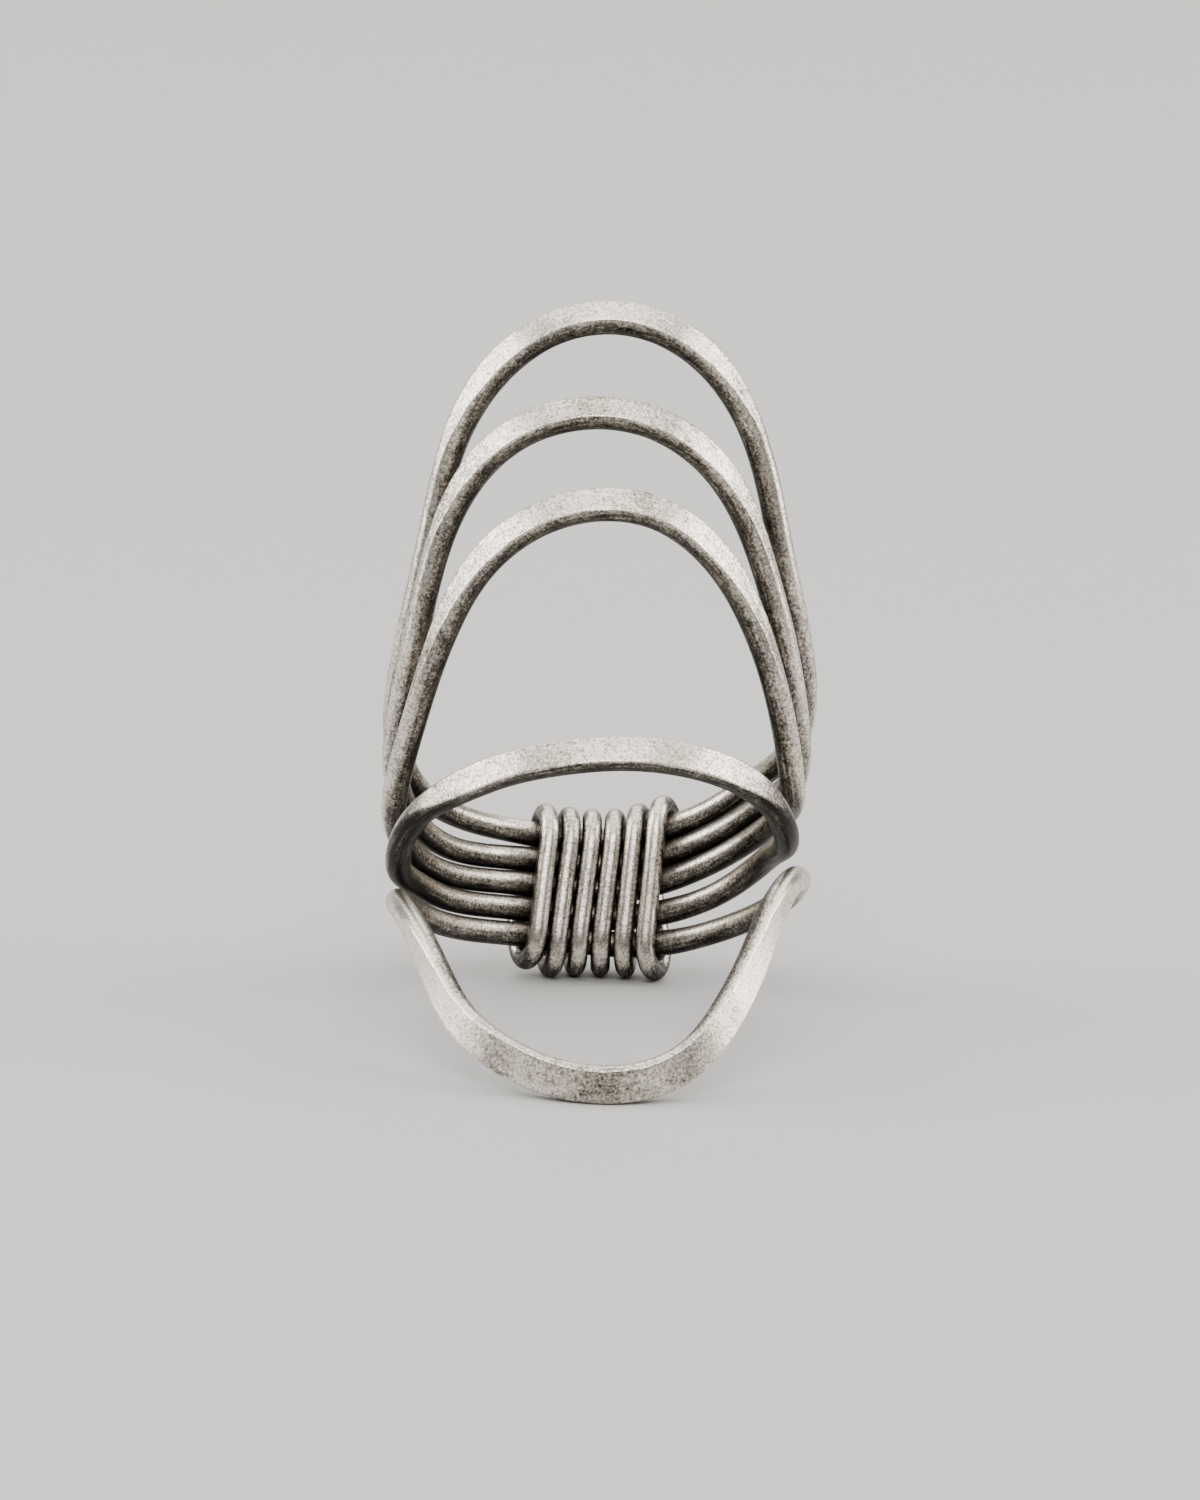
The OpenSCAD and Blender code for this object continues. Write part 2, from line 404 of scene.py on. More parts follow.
@dataclass(frozen=True)
class Forging:
    """How the front of a loop is hammered.

    Attributes:
        flat: Degrees from the front up to which the wire is quite flat.
        rounded: Degrees from the front beyond which it is round.
        width: Width across the flat, in millimetres.
        thick: Thickness of the flat, in millimetres.
        tilt: Degrees by which the face is turned up from the outward direction in front.
        square: Degrees from the front at which the face is square to the finger again.
    """

    flat: float
    rounded: float
    width: float
    thick: float
    tilt: float
    square: float = 50


@dataclass(frozen=True)
class LoopPlan:
    """One loop of wire round the finger.

    Attributes:
        name: Name of the node that it stands for.
        forging: How its front is hammered.
        wear_and_light: How it is worn bright, and where light and shade are painted on it.
        rows: Turn round the finger in degrees, how proud of the band's circle, and rise.
        smudges_and_painted_light: Turn of each smudge on its face, how far it reaches in degrees, and
            how dark it is, or how bright where the number is below 0. Dark ones towards the cross arch's
            ends are painted shade where the light falls off; bright ones on the drop's legs
            are a painted highlight.
    """

    name: str
    forging: Forging
    wear_and_light: WearAndShade
    rows: Rows
    smudges_and_painted_light: Rows

    def drawing(self, step: float) -> Drawing:
        """The loop's path and sections.

        Args:
            step: Distance between two sections, in millimetres.

        Returns:
            The drawing, with the finger's axis along Z and the front towards -Y.
        """
        rows = np.array(self.rows)
        turn, radius, rise = np.radians(rows[:, 0]), BAND_R + rows[:, 1], rows[:, 2]
        stations = np.stack([radius * np.sin(turn), -radius * np.cos(turn), rise], axis=1)
        centres = spline(stations, True, step)
        along = unit(np.roll(centres, -1, axis=0) - np.roll(centres, 1, axis=0))
        outward = unit(centres * [1, 1, 0])
        out = unit(outward - np.sum(outward * along, axis=1, keepdims=True) * along)
        side = np.cross(out, along)
        away = np.degrees(np.abs(np.arctan2(centres[:, 0], -centres[:, 1])))
        plan = self.forging
        flat = 1 - ease(away, plan.flat, plan.rounded)
        tilt = np.radians(plan.tilt * (1 - ease(away, 0, plan.square)))[:, None]
        face = np.cos(tilt) * out + np.sin(tilt) * side
        across = np.cos(tilt) * side - np.sin(tilt) * out
        pressed = PRESSED * ease(away, *PRESSED_TURN)
        width = WIRE_R + (plan.width / 2 - WIRE_R) * flat + pressed
        thick = WIRE_R + (plan.thick / 2 - WIRE_R) * flat + pressed
        half = np.stack([width, thick], axis=1)
        start = half * (1 + flat[:, None] * SWELL)
        return Drawing(centres, across, face, along, half, start, flat, True)


LOOPS = (
    LoopPlan("tall_arch", Forging(22, 54, 1.6, 0.95, 31), WearAndShade.ARCH, (
        (-180, 0, 2.65), (-160, 0, 3), (-143, 0, 3.2), (-126, 0, 3.55), (-110, 0.15, 4.3),
        (-93, 0.35, 5.85), (-81, 0.25, 8.1), (-71, 0.05, 10.7), (-63, -0.1, 13.2),
        (-56, -0.1, 15.8), (-48, -0.05, 18.6), (-38, 0, 20.9), (-25, 0, 22.8), (-9, 0, 24),
        (9, 0, 24.2), (26, 0, 23.3), (39, 0, 21.7), (49, 0, 19.7), (57.5, 0, 17.1),
        (64, 0, 14.5), (72.5, 0.1, 12), (82, 0.25, 9.9), (93, 0.4, 7.6), (108, 0.3, 6),
        (124, 0.1, 5.3), (141, 0, 4.15), (160, 0, 3.25)),
        smudges_and_painted_light=((20, 5, 0.12), (-8, 6, 0.06), (-44, 12, 0.04), (44, 12, 0.12))),
    LoopPlan("middle_arch", Forging(24, 58, 1.5, 0.95, 25), WearAndShade.ARCH, (
        (-180, 0, 1.35), (-160, 0, 1.67), (-143, 0, 1.6), (-126, 0, 1.7), (-109, 0.2, 2.6),
        (-92, 0.35, 4.2), (-78, 0.25, 6.4), (-66, 0.15, 9.2), (-57, 0.15, 12.2),
        (-49, 0.1, 14.9), (-38, 0, 17.2), (-24, 0, 18.7), (-8, 0, 19.4), (9, 0, 19.35),
        (25, 0, 18.4), (38, 0, 16.8), (48, 0, 14.7), (57, 0, 12.1), (66, 0.05, 9.5),
        (77, 0.05, 6.5), (91, 0, 4.5), (108, 0, 4), (125, 0, 3.6), (142, 0, 2.7),
        (160, 0, 1.9)),
        smudges_and_painted_light=((-3, 4, 0.16), (20, 6, 0.08), (0, 45, 0.07), (-46, 13, 0.12), (46, 13, 0.12))),
    LoopPlan("short_arch", Forging(26, 60, 1.5, 0.95, 20), WearAndShade.ARCH, (
        (-180, 0, 0), (-160, 0, 0.35), (-143, 0, 0.3), (-126, 0, 0.3), (-109, 0.2, 0.85),
        (-91, 0.35, 1.9), (-75, 0.3, 3.5), (-62, 0.2, 6.1), (-52, 0.1, 8.9), (-42, 0, 11.4),
        (-30, 0, 13.2), (-15, 0, 14.45), (1, 0, 14.95), (17, 0, 14.6), (31, 0, 13.3),
        (43, 0, 11.4), (54, 0, 8.8), (65, -0.05, 5.9), (78, -0.25, 3.5), (94, -0.3, 2.75),
        (110, -0.2, 2.6), (126, 0, 2.2), (143, 0, 1.3), (161, 0, 0.5)),
        smudges_and_painted_light=((12, 4, 0.16), (0, 50, 0.05), (-48, 14, 0.16), (48, 14, 0.16))),
    LoopPlan("cross_arch", Forging(34, 64, 1.5, 0.95, 17), WearAndShade.CROSS, (
        (-180, 0, -1.34), (-160, 0, -0.98), (-143, 0, -1), (-126, 0, -1), (-110, 0.1, -0.6),
        (-93, 0.1, -0.6), (-78, 0.1, 0.15), (-62, 0.1, 1.1), (-45, 0, 1.75), (-27, 0, 2.4),
        (-9, 0, 2.75), (9, 0, 2.95), (27, 0, 2.75), (43, 0, 2.3), (58, -0.1, 1.5),
        (73, -0.45, 0.8), (92, -0.65, 0.6), (109, -0.6, 0.8), (125, -0.15, 0.5),
        (142, 0, -0.45), (160, 0, -1.1)),
        # Its smudges towards the ends are painted shade where the light falls off.
        smudges_and_painted_light=((-10, 4, 0.1), (0, 60, 0.06), (-42, 9, 0.16), (-66, 10, 0.22), (48, 8, 0.18),
                 (68, 14, 0.34))),
    LoopPlan("drop_arch", Forging(30, 74, 1.72, 0.8, -27), WearAndShade.DROP, (
        (-180, 0, -2.66), (-160, 0, -2.33), (-143, 0, -2.35), (-126, 0, -2.35),
        (-110, 0.15, -2.05), (-93, 0.1, -2.1), (-77, 0.05, -2.9), (-63, 0, -4.4),
        (-52, 0, -6.6), (-41.5, 0, -9.1), (-26, 0, -11), (-9, 0, -12.2), (9, 0, -12.3),
        (25.5, 0, -11.1), (38, 0, -8.6), (48, 0, -6), (57, 0, -3.5), (71, 0, -1.75),
        (92, -0.05, -1.25), (110, 0, -1.5), (126, 0, -1.9), (143, 0, -2.35), (161, 0, -2.75)),
        # The last two smudges, below 0, brighten the legs: a painted highlight.
        smudges_and_painted_light=((-1, 9, 0.2), (4, 20, 0.13), (-29, 5, 0.2), (24, 5, 0.16), (-52, 14, -0.2),
                 (52, 14, -0.2))),
)


@dataclass(frozen=True)
class BindingPlan:
    """The thinner wire that is wound round the five strands.

    Attributes:
        name: Name of the node that it stands for.
        wear_and_light: How it is worn bright, and where light and shade are painted on it.
        smudges_and_painted_light: Smudges as on a loop, of which it has none.
        wraps: For each turn, where the inner run starts and ends in degrees from the back's middle,
            and the rise of the wire's centre under and over the strands.
        skew: Degrees by which the wire leans sideways over or under the strands.
        last_skew: The same for the last turn's lower end.
        start_tail: Angle and rise of the first end's two stations.
        end_tail: Angle and rise of the last end's two stations.
    """

    name: str = "binding_coil"
    wear_and_light: WearAndShade = WearAndShade.WRAP
    smudges_and_painted_light: Rows = ()
    wraps: tuple[tuple[float, float, float, float], ...] = (
        (-22, -17.5, -3.65, 4.15), (-14.7, -10, -3.97, 4.05), (-7.2, -2.7, -3.87, 3.95),
        (0.3, 4.6, -3.87, 3.95), (7.9, 12.1, -3.95, 4.2), (15.5, 20, -4.17, 4.55))
    skew: float = 0.5
    last_skew: float = 1.6
    start_tail: tuple[Span, ...] = ((-23.4, -0.6), (-23.2, -1.5))
    end_tail: tuple[Span, ...] = ((21.5, 2.2), (22.3, 1.2))

    def heel(self, turn: int) -> float:
        """Angle at which the wire of a turn comes down behind the strands.

        Args:
            turn: Number of the turn, from 0.

        Returns:
            The angle in degrees from the back's middle.
        """
        foot = self.wraps[turn][0]
        if turn == 0:
            return foot - 2 * self.skew
        return foot + self.last_skew if turn == len(self.wraps) - 1 else foot - self.skew

    def stations(self) -> list[tuple[float, float, float]]:
        """Lists the stations that the wire runs through.

        Returns:
            The angle, the distance outside the band's circle and the rise of each.
        """
        reach, shares = BINDING_REACH, (0, 0.25, 0.5, 0.75, 1)
        run, lobe = shares[1:-1], [(t, math.cos(math.pi * t), math.sin(math.pi * t)) for t in shares]
        found = [(angle, reach, rise) for angle, rise in self.start_tail]
        for i, (foot, head, low, high) in enumerate(self.wraps):
            bottom, top, heel, over = low + reach, high - reach, self.heel(i), head + self.skew
            found += [(heel + (foot - heel) * t, reach * c, bottom - reach * s) for t, c, s in lobe]
            found += [(foot + (head - foot) * t, -reach, bottom + (top - bottom) * t) for t in run]
            found += [(head + (over - head) * t, -reach * c, top + reach * s) for t, c, s in lobe]
            if i + 1 < len(self.wraps):
                next_low, next_heel = self.wraps[i + 1][2] + reach, self.heel(i + 1)
                found += [(over + (next_heel - over) * t, reach, top + (next_low - top) * t)
                          for t in run]
        return found + [(angle, reach, rise) for angle, rise in self.end_tail]

    def drawing(self, step: float) -> Drawing:
        """The binding's path and sections.

        Args:
            step: Distance between two sections, in millimetres.

        Returns:
            The drawing, with the finger's axis along Z and the front towards -Y.
        """
        rows = np.array(self.stations())
        angle, radius = np.radians(rows[:, 0]), BAND_R + rows[:, 1]
        stations = np.stack([radius * np.sin(angle), radius * np.cos(angle), rows[:, 2]], axis=1)
        centres = spline(stations, False, step)
        along = unit(np.gradient(centres, axis=0))
        out = unit(np.cross(along, [1, 0, 0]))
        half = np.full((len(centres), 2), BINDING_R)
        half[:2] *= BLUNT_END[:, None]
        half[-2:] *= BLUNT_END[::-1, None]
        return Drawing(centres, np.cross(out, along), out, along, half, half,
                       np.zeros(len(centres)), False)


@dataclass(frozen=True)
class Stance:
    """How the ring stands: it leans back and to the left on its drop and on the binding.

    Attributes:
        lean: Degrees by which the finger's axis leans back from upright.
        roll: Degrees by which it then leans to the left.
    """

    lean: float = 24.3
    roll: float = 1.7

    def move(self, drawings: list[Drawing]) -> Move:
        """The move that leans the ring and puts it on the floor, with its box centred.

        Args:
            drawings: All wires, in the finger's frame.

        Returns:
            The move from the finger's frame to the part's.
        """
        back = Matrix.Rotation(-math.radians(self.lean), 3, "X")
        left = Matrix.Rotation(-math.radians(self.roll), 3, "Y")
        leaned = Move(np.array(left @ back), np.zeros(3))
        points = np.concatenate([drawing.moved(leaned).outline() for drawing in drawings])
        low, high = points.min(axis=0), points.max(axis=0)
        return Move(leaned.turn, np.array([-(low[0] + high[0]) / 2, -(low[1] + high[1]) / 2, -low[2]]))


@dataclass(frozen=True)
class Spots:
    """Spots of one size in the surface of the silver.

    Attributes:
        scale: How many there are to the metre.
        octaves: How many finer sizes are mixed in, each half of the last.
        tone: How much they darken and brighten bare silver.
        in_patina: How much more they do so in patina.
        relief: How much they stand out.
        drawn: Whether they are drawn out along the wire.
    """

    scale: float
    octaves: float
    tone: float
    in_patina: float = 0
    relief: float = 0
    drawn: bool = False


@dataclass(frozen=True)
class OxidisedSilver:
    """Silver that was blackened and then rubbed bright where it is worn, with light and shade painted
    in.

    Attributes:
        name: Name of the material.
        bright: Colour of rubbed silver, and of painted light.
        warm: Colour of a thin brown patina.
        dull: Colour of a thicker patina.
        black: Colour of the deepest patina, and of the deepest painted shade.
        stages: Depth of the patina at which it is warm, and at which it is dull.
        cover: How much of the stored depth of the patina shows.
        cleaned: What is taken off the depth everywhere.
        spots: The spots in it, from the broadest to the drawn lines.
        weight: Weight of each finer size, as a share of the last.
        drawn_out: Factor along the wire for spots that are drawn out.
        rough: Roughness of rubbed silver, and of the deepest patina.
        grain: Strength of the relief.
        relief: Height of the relief, in millimetres.
    """

    name: str
    bright: Colour = (0.9, 0.83, 0.725)
    warm: Colour = (0.4, 0.364, 0.318)
    dull: Colour = (0.105, 0.094, 0.079)
    black: Colour = (0.013, 0.0115, 0.0095)
    stages: Span = (0.35, 0.66)
    cover: float = 0.92
    cleaned: float = 1.17
    spots: tuple[Spots, ...] = (
        Spots(350, 3, tone=0.35),
        Spots(2200, 3, tone=0.5, relief=0.15),
        Spots(8000, 2, tone=1.6, in_patina=-1.0, relief=0.7),
        Spots(5200, 2, tone=0.2, in_patina=1.4, relief=0.3, drawn=True),
    )
    weight: float = 0.6
    drawn_out: float = 0.09
    rough: Span = (0.3, 0.45)
    grain: float = 0.3
    relief: float = 0.05

    def material(self) -> bpy.types.Material:
        """Builds the material's nodes.

        Returns:
            The new material.
        """
        made = bpy.data.materials.new(self.name)
        made.use_nodes = True
        nodes = made.node_tree.nodes
        place = nodes.new("ShaderNodeTexCoord").outputs["Object"]
        unbent, patina = nodes.new("ShaderNodeAttribute"), nodes.new("ShaderNodeAttribute")
        unbent.attribute_name, patina.attribute_name = "unbent", "patina"
        lines = feed(nodes.new("ShaderNodeMapping"), {
            "Vector": unbent.outputs["Vector"], "Scale": (self.drawn_out, 1, 1)}).outputs["Vector"]

        # The stored depth is the patina together with the painted light and shade.
        stored = patina.outputs["Fac"]
        depth = self.summed(nodes, stored, self.cover, -self.cleaned)
        height = 0.0
        for spots in self.spots:
            noise = feed(nodes.new("ShaderNodeTexNoise"), {
                "Vector": lines if spots.drawn else place, "Scale": spots.scale,
                "Detail": spots.octaves, "Roughness": self.weight}).outputs["Fac"]
            depth = self.summed(nodes, noise, spots.tone, depth)
            if spots.in_patina:
                clogged = self.summed(nodes, noise, stored, 0.0)
                depth = self.summed(nodes, clogged, spots.in_patina, depth)
            if spots.relief:
                height = self.summed(nodes, noise, spots.relief, height)

        ramp = feed(nodes.new("ShaderNodeValToRGB"), {"Fac": depth})
        colours = ramp.color_ramp.elements
        colours[0].color, colours[1].color = (*self.bright, 1), (*self.black, 1)
        for stage, colour in zip(self.stages, (self.warm, self.dull)):
            colours.new(stage).color = (*colour, 1)
        rough = feed(nodes.new("ShaderNodeMapRange"), {
            "Value": depth, "To Min": self.rough[0], "To Max": self.rough[1]})
        bump = feed(nodes.new("ShaderNodeBump"), {
            "Strength": self.grain, "Distance": self.relief * MM, "Height": height})
        feed(nodes["Principled BSDF"], {
            "Metallic": 1.0, "Base Color": ramp.outputs["Color"],
            "Roughness": rough.outputs["Result"], "Normal": bump.outputs["Normal"]})
        return made

    @staticmethod
    def summed(nodes: bpy.types.Nodes, value: Given, weight: Given, total: Given) -> Given:
        """Adds a weighted value to a total.

        Args:
            nodes: The material's nodes.
            value: The value.
            weight: Its weight.
            total: What it is added to.

        Returns:
            The new total.
        """
        node = nodes.new("ShaderNodeMath")
        node.operation = "MULTIPLY_ADD"
        return feed(node, {0: value, 1: weight, 2: total}).outputs["Value"]


@dataclass(frozen=True)
class Bench:
    """Where a wire is drawn, smoothed and hammered with the edit tools.

    Attributes:
        sides: Sides of the drawn wire before it is smoothed.
        levels: How often it is subdivided.
        least_turn: Turn in radians below which a section isn't turned.
        least_growth: Growth below which a section isn't scaled.
        least_flat: How flat a section is at least where it is hammered.
        uneven: Depth to which the blows differ, in millimetres.
        wavelengths: Distances over which they differ, in millimetres.
        easing: How far the corners are eased towards what is next to them.
        easings: How often they are eased.
    """

    sides: int = 20
    levels: int = 2
    least_turn: float = 1e-7
    least_growth: float = 1e-6
    least_flat: float = 0.01
    uneven: float = 0.02
    wavelengths: tuple[float, ...] = (5.1, 2.9, 1.9)
    easing: float = 0.5
    easings: int = 2

    def draw(self, name: str, wire: Drawing) -> bpy.types.Object:
        """Draws a wire along its path: a ring of edges is extruded, turned and widened.

        Args:
            name: Name of the new piece.
            wire: The wire's drawing in the part's frame.

        Returns:
            The piece, a closed tube.
        """
        # Subdividing draws a ring of vertices in, and this makes up for it
        swell = 3 / (2 + math.cos(2 * math.pi / self.sides))
        centres, half = wire.centres * MM, wire.start * swell * MM
        frames = np.stack([wire.across, wire.face, wire.along], axis=2)
        bpy.ops.object.select_all(action="DESELECT")
        bpy.ops.mesh.primitive_circle_add(
            vertices=self.sides, radius=1, fill_type="NOTHING" if wire.closed else "NGON",
            location=centres[0], rotation=Matrix(frames[0]).to_euler())
        piece = bpy.context.object
        piece.name = piece.data.name = name
        bpy.ops.object.mode_set(mode="EDIT")
        bpy.ops.mesh.select_all(action="SELECT")
        self.scale(frames[0], centres[0], (half[0, 0], half[0, 1], 1))
        for i in range(1, len(centres)):
            bpy.ops.mesh.extrude_region_move(
                TRANSFORM_OT_translate={"value": centres[i] - centres[i - 1]})
            axis, angle = Matrix(frames[i] @ frames[i - 1].T).to_quaternion().to_axis_angle()
            if angle > self.least_turn:
                self.rotate(axis, angle, centres[i])
            growth = half[i] / half[i - 1]
            if np.abs(growth - 1).max() > self.least_growth:
                self.scale(frames[i], centres[i], (growth[0], growth[1], 1))
        if wire.closed:
            self.join_ends(piece)
        bpy.ops.mesh.select_all(action="SELECT")
        bpy.ops.mesh.normals_make_consistent(inside=False)
        bpy.ops.object.mode_set(mode="OBJECT")
        bpy.ops.object.transform_apply(location=True, rotation=True, scale=True)
        return piece

    @staticmethod
    def rotate(axis: Vector, angle: float, centre: np.ndarray) -> None:
        """Turns what is selected.

        Args:
            axis: Axis of the turn.
            angle: Angle in radians, by the right-hand rule.
            centre: Point on the axis.
        """
        first = axis.orthogonal().normalized()
        basis = Matrix((first, axis.cross(first), axis)).transposed()
        bpy.ops.transform.rotate(value=angle, orient_axis="Z", orient_type="GLOBAL", orient_matrix=basis,
                                 orient_matrix_type="GLOBAL", constraint_axis=(False, False, True),
                                 center_override=centre)

    @staticmethod
    def scale(basis: np.ndarray, centre: np.ndarray, value: tuple[float, float, float]) -> None:
        """Scales what is selected along three directions.

        Args:
            basis: The directions, a column each.
            centre: Point that stays.
            value: Factor along each direction.
        """
        bpy.ops.transform.resize(value=value, orient_type="GLOBAL", orient_matrix=Matrix(basis),
                                 orient_matrix_type="GLOBAL", center_override=centre)

    def join_ends(self, piece: bpy.types.Object) -> None:
        """Bridges the last ring of a closed wire to its first.

        Args:
            piece: The piece in edit mode.
        """
        mesh = bmesh.from_edit_mesh(piece.data)
        last_ring = len(mesh.verts) - self.sides
        for number, vertex in enumerate(mesh.verts):
            vertex.select = number < self.sides or number >= last_ring
        mesh.select_flush(True)
        bmesh.update_edit_mesh(piece.data, loop_triangles=False, destructive=False)
        bpy.ops.mesh.bridge_edge_loops()

    def smooth(self, piece: bpy.types.Object) -> None:
        """Subdivides a drawn wire, so that it is round and smooth.

        Args:
            piece: The drawn wire.
        """
        modifier = piece.modifiers.new("smooth", "SUBSURF")
        modifier.levels = modifier.render_levels = self.levels
        bpy.context.view_layer.objects.active = piece
        bpy.ops.object.modifier_apply(modifier=modifier.name)
        bpy.ops.object.shade_smooth()

    def hammer(self, piece: bpy.types.Object, wire: Drawing, seed: int) -> int:
        """Hammers the flat stretch of a wire on its face and on its back, and eases its corners.

        Args:
            piece: The smoothed wire.
            wire: The wire's drawing in the part's frame, with a point for each blow.
            seed: Seed of the small differences between blows.

        Returns:
            The number of blows.
        """
        near = wire.stations_of(points_of(piece))
        under = [np.flatnonzero(near == i) for i in range(len(wire.centres))]
        bpy.ops.object.mode_set(mode="EDIT")
        bpy.ops.mesh.select_all(action="DESELECT")
        mesh = bmesh.from_edit_mesh(piece.data)
        mesh.verts.ensure_lookup_table()
        blows = 0
        for side, direction in enumerate((wire.face, -wire.face)):
            depth = wire.half[:, 1] - self.waves(wire.lengths(), seed * 2 + side)
            for i in np.flatnonzero(wire.flat > self.least_flat):
                normal = direction[i]
                plane = wire.centres[i] + normal * depth[i]
                # A blow reaches only what is nearest to its own section and to the next ones
                window = [mesh.verts[n] for k in (-1, 0, 1) for n in under[(i + k) % len(under)]]
                hit = [v for v in window if (np.array(v.co) / MM - plane) @ normal > 0]
                if not hit:
                    continue
                for vertex in hit:
                    vertex.select = True
                basis = np.stack([wire.along[i], np.cross(normal, wire.along[i]), normal], axis=1)
                self.scale(basis, plane * MM, (1, 1, 0))
                for vertex in hit:
                    vertex.select = False
                blows += 1
        bpy.ops.mesh.select_all(action="SELECT")
        bpy.ops.mesh.vertices_smooth(factor=self.easing, repeat=self.easings)
        bpy.ops.object.mode_set(mode="OBJECT")
        return blows

    def waves(self, lengths: np.ndarray, seed: int) -> np.ndarray:
        """How much deeper than flat the blows go along a wire, in millimetres.

        Args:
            lengths: Distance along the wire of each point, in millimetres.
            seed: Seed of the waves.

        Returns:
            The depth at each point.
        """
        chance = np.random.default_rng(seed)
        total = np.zeros(len(lengths))
        for wavelength in self.wavelengths:
            turns = round(lengths[-1] / wavelength)
            phase = chance.uniform(0, 2 * math.pi)
            total += np.sin(2 * math.pi * turns * lengths / lengths[-1] + phase)
        return self.uneven * total / len(self.wavelengths)


@dataclass
class WirePiece:
    """One wire of the ring, from its drawing to its patina.

    Attributes:
        plan: What the wire is like.
        wire: Its drawing in the part's frame.
        fine: The same drawing with more points, for the blows and the patina.
        slot: The record's slot for its finish.
        bench: Where it is made.
        patina: How its patina lies, with the painted light and shade in it.
        sheltered: Gap to another wire at which shelter is down to a third, in millimetres.
        own_turn: Distance along the wire beyond which it shelters itself, in millimetres.
    """

    plan: LoopPlan | BindingPlan
    wire: Drawing
    fine: Drawing
    slot: str
    bench: Bench
    patina: PatinaAndShade = PatinaAndShade()
    sheltered: float = 0.25
    own_turn: float = 3
    piece: bpy.types.Object | None = field(default=None, init=False)

    def build(self, others: np.ndarray, move: Move, seed: int) -> None:
        """Draws, smooths and hammers the wire, and lays its patina with the painted light and shade.

        Args:
            others: Centre and radius of the other wires, a row each.
            move: The move from the finger's frame to the part's.
            seed: Seed of the small differences between blows.
        """
        self.piece = self.bench.draw(self.plan.name + "_wire", self.wire)
        self.lay_shelter(others)
        self.bench.smooth(self.piece)
        blows = self.bench.hammer(self.piece, self.fine, seed) if self.wire.closed else 0
        self.lay_patina_and_shade(move)
        LOG.info("%s: %d faces, %d blows", self.piece.name, len(self.piece.data.polygons), blows)

    def store(self, name: str, kind: str, key: str, values: np.ndarray) -> None:
        """Stores a new attribute of the piece's vertices."""
        self.piece.data.attributes.new(name, kind, "POINT").data.foreach_set(key, values.ravel())

    def lay_shelter(self, others: np.ndarray) -> None:
        """Stores how close other wires are, and where each point was on the straight wire.

        Args:
            others: Centre and radius of the other wires, a row each.
        """
        points = points_of(self.piece)
        wire, lengths = self.wire, self.wire.lengths()
        frames = np.stack([wire.along, wire.across, wire.face], axis=1)
        gaps = np.linalg.norm(points[:, None] - others[None, :, :3], axis=2) - others[None, :, 3]
        apart = gaps.min(axis=1)
        own = np.linalg.norm(points[:, None] - wire.centres[None], axis=2)
        near = own.argmin(axis=1)
        if not wire.closed:
            far = np.abs(lengths[None] - lengths[near][:, None]) > self.own_turn
            apart = np.minimum(apart, np.where(far, own - BINDING_R, np.inf).min(axis=1))
        unbent = np.einsum("nij,nj->ni", frames[near], points - wire.centres[near])
        unbent[:, 0] += lengths[near]
        self.store("shelter", "FLOAT", "value", np.exp(-apart / self.sheltered))
        self.store("unbent", "FLOAT_VECTOR", "vector", unbent * MM)

    def surface(self, move: Move) -> Surface:
        """How each vertex of the finished piece lies.

        Args:
            move: The move from the finger's frame to the part's.

        Returns:
            The piece's surface.
        """
        mesh = self.piece.data
        shelter = np.empty(len(mesh.vertices))
        mesh.attributes["shelter"].data.foreach_get("value", shelter)
        normals = np.empty(len(mesh.vertices) * 3)
        mesh.vertices.foreach_get("normal", normals)
        points, facing = points_of(self.piece), normals.reshape(-1, 3)
        near = self.fine.stations_of(points)
        at_finger, finger_facing = move.place_back(points), move.aim_back(facing)
        return Surface(
            face=np.sum(facing * self.fine.face[near], axis=1),
            edge=np.sum(facing * self.fine.across[near], axis=1),
            up=finger_facing[:, 2],
            back=finger_facing[:, 1],
            out=np.sum(finger_facing * unit(at_finger * [1, 1, 0]), axis=1),
            turn=np.degrees(np.arctan2(at_finger[:, 0], -at_finger[:, 1])),
            flat=self.fine.flat[near],
            shelter=shelter)

    def lay_patina_and_shade(self, move: Move) -> None:
        """Stores the depth of patina, painted light and shade at each vertex of the finished piece."""
        depth = self.patina.depth(self.surface(move), self.plan.wear_and_light.value, self.plan.smudges_and_painted_light)
        self.store("patina", "FLOAT", "value", depth)

    def dress(self, silver: bpy.types.Material) -> None:
        """Gives the piece its material, hides the CAD part that it stands for, and attaches it to the
        ring's body.

        Args:
            silver: The piece's material.
        """
        self.piece.data.materials.clear()
        self.piece.data.materials.append(silver)
        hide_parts(self.plan.name)
        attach(self.piece, "root")


